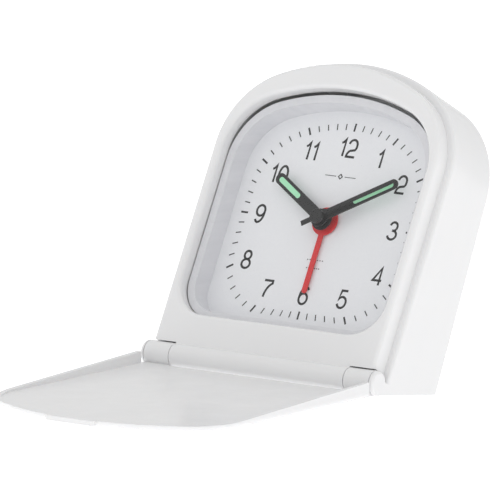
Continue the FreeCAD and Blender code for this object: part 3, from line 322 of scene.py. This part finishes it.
# one finish for each slot of the record
finishes = {
    "case_plastic": glossMouldedAbs(),
    "clear_plastic": clearStyrene(),
    "ring_plastic": frostedRing(),
    "dial_paint": paintedFilm("satinSilverWhiteDialLacquer", "#F6F7F9", "#F1F2F5", 0.42, 0.6, 0.003),
    "steel": platedMetal("brightZincPlatedSteel", "#C9CCD0", 0.28, 0.25),
    "nickel": platedMetal("nickelPlatedSpringBrass", "#D5CFC3", 0.24, 0.25),
    "battery_sleeve": paintedFilm("shrinkWrappedPvcSleeve", "#2A4570", "#2F4C7A", 0.28, 3.0, 0.01),
    "frame_plastic": mouldedPlastic("naturalMouldedStyrene", "#DAD9D2", "#D2D1C9", 0.45, 0.3, 0.006, 1.59),
    "gear_plastic": mouldedPlastic("naturalMouldedAcetal", "#E6E2D6", "#DDD9CC", 0.36, 0.25, 0.004, 1.48),
    "board": paintedFilm("greenSolderMaskOnFibreglass", "#2C6B45", "#27603D", 0.33, 0.8, 0.01),
    "epoxy": paintedFilm("blackPottingEpoxy", "#121213", "#17171A", 0.22, 1.5, 0.02, 1.55),
    "copper": platedMetal("enamelledCopperWinding", "#B86A3C", 0.35, 0.12, (0.05, 1, 1)),
    "buzzer_case": mouldedPlastic("blackMouldedNoryl", "#1B1B1C", "#202022", 0.5, 0.3, 0.008),
    "black_paint": paintedFilm("satinBlackHandLacquer", "#101011", "#161617", 0.38, 0.4, 0.003),
    "green_lume": paintedFilm("mattLuminousPaint", "#B4F4CA", "#AAECC1", 0.8, 0.18, 0.02),
    "red_paint": paintedFilm("satinRedHandLacquer", "#E0262A", "#D81F24", 0.36, 0.4, 0.003),
}
printInk = paintedFilm("blackScreenPrintInk", "#141414", "#1C1C1D", 0.55, 0.2, 0.002)

record = frame["record"]
for part in record["subparts"]:
    node = frame["nodes"][part["node"]]
    for slot in node.material_slots:
        slot.material = finishes[part["material_slot"]]
print("finishes on", len(record["subparts"]), "nodes")


# points of part of an ellipse, in degrees counter-clockwise from the right
def arc(cx, cy, rx, ry, start, end, steps=14):
    return [(cx + rx * cos(radians(start + (end - start) * i / steps)),
             cy + ry * sin(radians(start + (end - start) * i / steps))) for i in range(steps + 1)]


def strokeEdges(points, width, closed):  # left and right edge of a line of that width through the points
    left, right = [], []
    count = len(points)
    for i, (x, y) in enumerate(points):
        before = points[i - 1] if closed or i else None
        after = points[(i + 1) % count] if closed or i < count - 1 else None
        normals = []
        for a, b in ((before, (x, y)), ((x, y), after)):
            if a is not None and b is not None:
                length = hypot(b[0] - a[0], b[1] - a[1])
                normals.append(((a[1] - b[1]) / length, (b[0] - a[0]) / length))
        nx, ny = sum(n[0] for n in normals), sum(n[1] for n in normals)
        size = hypot(nx, ny)
        spread = width / 2 / max(size / len(normals), 0.4)
        nx, ny = nx / size * spread, ny / size * spread
        left.append((x + nx, y + ny))
        right.append((x - nx, y - ny))
    return left, right


def makeRelief(name, strokes, thick):
    # strokes are (points, width, closed); each becomes a thin printed bar with a top and sides, on the dial
    mesh = bpy.data.meshes.new(name)
    build = bmesh.new()
    for points, width, closed in strokes:
        left, right = strokeEdges(points, width, closed)
        rows = [[build.verts.new(onDial(p[0], p[1], lift)) for p, lift in
                 ((left[i], 0.0), (left[i], thick), (right[i], thick), (right[i], 0.0))]
                for i in range(len(points))]
        pairs = list(zip(rows, rows[1:] + rows[:1])) if closed else list(zip(rows, rows[1:]))
        for a, b in pairs:
            for i in range(4):
                j = (i + 1) % 4
                build.faces.new((a[i], a[j], b[j], b[i]))
        if not closed:
            build.faces.new(rows[0][::-1])
            build.faces.new(rows[-1])
    bmesh.ops.recalc_face_normals(build, faces=build.faces)
    build.to_mesh(mesh)
    build.free()
    mesh.materials.append(printInk)
    piece = bpy.data.objects.new(name, mesh)
    bpy.context.collection.objects.link(piece)
    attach(piece, "case")


# the minute track: an arched outline in millimetres from the centre, and the marks that point at it
track = {"half": 23.45, "top": 23.4, "crown": 35, "corner": 15, "drop": 22.9, "foot": 13,
         "minuteLong": 1.5, "minuteWide": 0.27, "hourLong": 1.95, "hourWide": 0.46, "thick": 0.02}


def arcReach(cx, cz, radius, dx, dz):  # how far from the centre a ray meets that circle's far side
    along = cx * dx + cz * dz
    inside = radius ** 2 - cx ** 2 - cz ** 2 + along ** 2
    return along + sqrt(inside) if inside > 0 else None


def trackRadius(angle):  # from the centre to the minute track, at this many degrees clockwise from 12
    dx, dz = abs(sin(radians(angle))), cos(radians(angle))
    half, corner, crown, foot = track["half"], track["corner"], track["crown"], track["foot"]
    middle = track["top"] - crown
    shoulder = middle + sqrt((crown - corner) ** 2 - (half - corner) ** 2)
    crest = atan2(shoulder - middle, half - corner)
    tiny = 1e-6
    reach = min(half / max(dx, tiny), track["drop"] / max(-dz, tiny), arcReach(0, middle, crown, dx, dz))
    for cx, cz, radius, first, last in ((half - corner, shoulder, corner, 0, crest),
                                        (half - foot, foot - track["drop"], foot, -pi / 2, 0)):
        hit = arcReach(cx, cz, radius, dx, dz)
        if hit and first < atan2(hit * dz - cz, hit * dx - cx) < last:
            reach = min(reach, hit)
    return reach


def makeTicks():
    for name, wide, long, wanted in (("dial_minute_marks", track["minuteWide"], track["minuteLong"], False),
                                     ("dial_hour_marks", track["hourWide"], track["hourLong"], True)):
        strokes = []
        for minute in range(60):
            if (minute % 5 == 0) == wanted:
                reach = trackRadius(6 * minute)
                dx, dz = sin(radians(6 * minute)), cos(radians(6 * minute))
                ends = [(dx * (reach + s * long / 2), dz * (reach + s * long / 2)) for s in (-1, 0, 1)]
                strokes.append((ends, wide, False))
        makeRelief(name, strokes, track["thick"])


# each figure is drawn in a box 1 high, as the middle line of its strokes
figures = {
    "0": (0.56, [(arc(0.5, 0.5, 0.5, 0.5, 90, 450, 28)[:-1], True)]),
    "1": (0.26, [([(0.05, 0.76), (0.5, 0.82), (0.95, 1.0), (0.95, 0.0)], False)]),
    "2": (0.56, [(arc(0.5, 0.70, 0.48, 0.30, 172, 0, 14) + arc(0.30, 0.60, 0.68, 0.30, 5, -38, 6)
                  + arc(0.62, 0.02, 0.62, 0.38, 118, 180, 7) + [(0.0, 0.0), (1.0, 0.0)], False)]),
    "3": (0.56, [(arc(0.47, 0.75, 0.42, 0.25, 168, -78, 16) + [(0.38, 0.52)], False),
                 ([(0.38, 0.52)] + arc(0.48, 0.26, 0.50, 0.26, 78, -168, 16), False)]),
    "4": (0.58, [([(0.76, 0.0), (0.76, 1.0), (0.0, 0.27), (1.0, 0.27)], False)]),
    "5": (0.56, [([(0.92, 1.0), (0.22, 1.0), (0.08, 0.50)]
                  + arc(0.48, 0.32, 0.50, 0.32, 138, -162, 18), False)]),
    "6": (0.56, [(arc(0.5, 0.31, 0.48, 0.31, 180, 540, 26)[:-1], True),
                 (arc(0.62, 0.42, 0.60, 0.58, 190, 90, 12) + arc(0.56, 0.78, 0.36, 0.22, 80, 15, 5), False)]),
    "7": (0.56, [([(0.0, 1.0), (1.0, 1.0)] + arc(1.45, 0.0, 1.15, 0.92, 112, 178, 10), False)]),
    "8": (0.56, [(arc(0.5, 0.76, 0.39, 0.24, 0, 360, 22)[:-1], True),
                 (arc(0.5, 0.26, 0.49, 0.26, 0, 360, 26)[:-1], True)]),
    "9": (0.56, [(arc(0.5, 0.69, 0.48, 0.31, 0, 360, 26)[:-1], True),
                 (arc(0.38, 0.58, 0.60, 0.58, 10, -90, 12)
                  + arc(0.44, 0.22, 0.36, 0.22, -100, -165, 5), False)]),
}
# the middle of each figure, in millimetres right of and above the centre
numerals = {"height": 4.75, "line": 0.56, "gap": 1.05, "thick": 0.02,
            "places": {12: (-0.1, 18.35), 1: (9.4, 16.6), 2: (17.45, 11.2), 3: (18.85, 0.0), 4: (18.5, -11.2),
                       5: (10.7, -17.7), 6: (-0.2, -18.0), 7: (-10.9, -17.6), 8: (-18.85, -11.2),
                       9: (-19.0, 0.1), 10: (-17.0, 10.1), 11: (-10.2, 16.5)}}


def makeNumerals():
    skeleton = numerals["height"] - numerals["line"]
    for hour, (cx, cz) in numerals["places"].items():
        digits = [figures[d] for d in str(hour)]
        widths = [share * skeleton for share, _ in digits]
        left = cx - (sum(widths) + numerals["gap"] * (len(digits) - 1)) / 2
        strokes = []
        for (share, lines), width in zip(digits, widths):
            for points, closed in lines:
                strokes.append(([(left + x * width, cz + (z - 0.5) * skeleton) for x, z in points],
                                numerals["line"], closed))
            left += width + numerals["gap"]
        makeRelief("dial_numeral_%02d" % hour, strokes, numerals["thick"])


ornament = {"height": 11.3, "reach": 4.3, "line": 0.16, "dot": 0.55, "thick": 0.02,
            "dashStart": 1.2, "rules": ((-9.3, 4.2), (-11.3, 3.4)), "ruleLine": 0.22, "ruleDots": 7,
            "halfDot": 0.16}


def makeOrnament():
    z, reach, dot = ornament["height"], ornament["reach"], ornament["dot"]
    strokes = [([(0, z + dot), (dot, z), (0, z - dot), (-dot, z)], ornament["line"] * 1.6, True)]
    for side in (-1, 1):
        strokes.append(([(side * ornament["dashStart"], z), (side * reach, z)], ornament["line"], False))
    makeRelief("dial_ornament", strokes, ornament["thick"])
    strokes = []
    for z, wide in ornament["rules"]:
        count = ornament["ruleDots"]
        for i in range(count):
            x = -wide / 2 + wide * i / (count - 1)
            strokes.append(([(x - ornament["halfDot"], z), (x + ornament["halfDot"], z)],
                            ornament["ruleLine"], False))
    makeRelief("dial_dotted_rules", strokes, ornament["thick"])


makeTicks()
makeNumerals()
makeOrnament()
print("dial print made")

bpy.context.view_layer.update()
